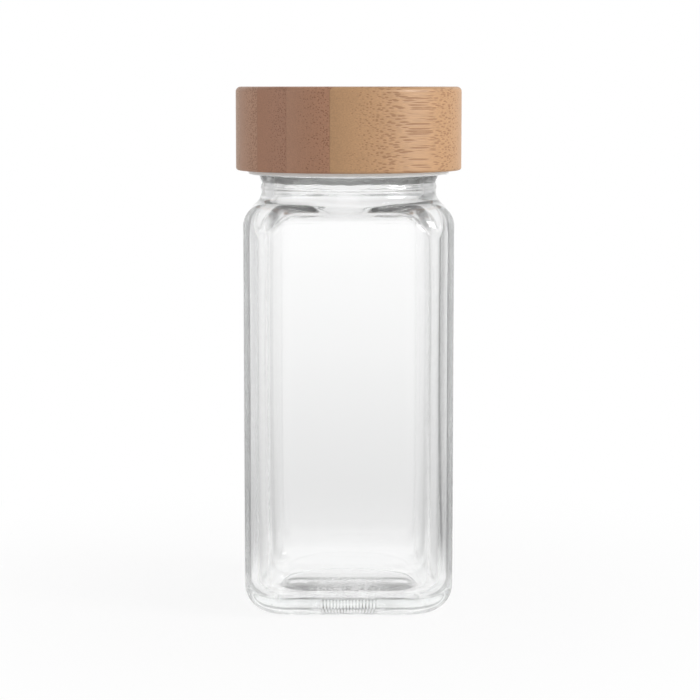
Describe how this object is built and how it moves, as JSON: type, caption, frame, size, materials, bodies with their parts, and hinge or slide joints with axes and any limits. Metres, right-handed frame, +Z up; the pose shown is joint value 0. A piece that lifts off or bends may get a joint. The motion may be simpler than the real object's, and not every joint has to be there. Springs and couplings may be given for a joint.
{
  "type": "spice jar",
  "caption": "Small rounded-square clear glass jar with a screw lid turned from laminated bamboo, a threaded plastic liner, a foam seal and a shaker insert.",
  "frame": {"origin": "centre of the jar's base, on the plane that it stands on", "axes": "+Z up along the jar's axis to the top of the lid; -Y is the front; X is to the right seen from the front"},
  "size_m": [0.0456, 0.0456, 0.105],
  "materials": {
    "clear_glass": "clear, fire polished",
    "liner_plastic": "satin, moulded",
    "insert_plastic": "smooth, moulded",
    "seal_foam": "matt foam with a smooth skin",
    "bamboo_1": "turned and sanded, oiled",
    "bamboo_2": "turned and sanded, oiled",
    "bamboo_3": "turned and sanded, oiled",
    "bamboo_4": "turned and sanded, oiled",
    "bamboo_5": "turned and sanded, oiled",
    "bamboo_6": "turned and sanded, oiled"
  },
  "bodies": {
    "jar": {"glass_jar": "clear_glass"},
    "insert": {"shaker_insert": "insert_plastic"},
    "seal": {"seal_disc": "seal_foam"},
    "lid": {"lid_liner": "liner_plastic", "bamboo_strip_1": "bamboo_1", "bamboo_strip_2": "bamboo_2", "bamboo_strip_3": "bamboo_3", "bamboo_strip_4": "bamboo_4", "bamboo_strip_5": "bamboo_5", "bamboo_strip_6": "bamboo_6"}
  },
  "joints": [
    {"name": "lid_lift", "type": "slide", "parent": "jar", "child": "seal", "axis": [0, 0, 1], "range_m": [0, 0.01482]},
    {"name": "lid_turn", "type": "hinge", "parent": "seal", "child": "lid", "pos_m": [0, 0, 0.0985], "axis": [0, 0, 1], "range_deg": [0, 1260]},
    {"name": "insert_pull", "type": "slide", "parent": "jar", "child": "insert", "axis": [0, 0, 1], "range_m": [0, 0.0077]}
  ],
  "couplings": [
    {"joint": "lid_lift", "follows": "lid_turn", "m_per_rad": 0.0006737},
    {"joint": "insert_pull", "follows": "lid_turn", "m_per_rad": 0.00035014}
  ]
}
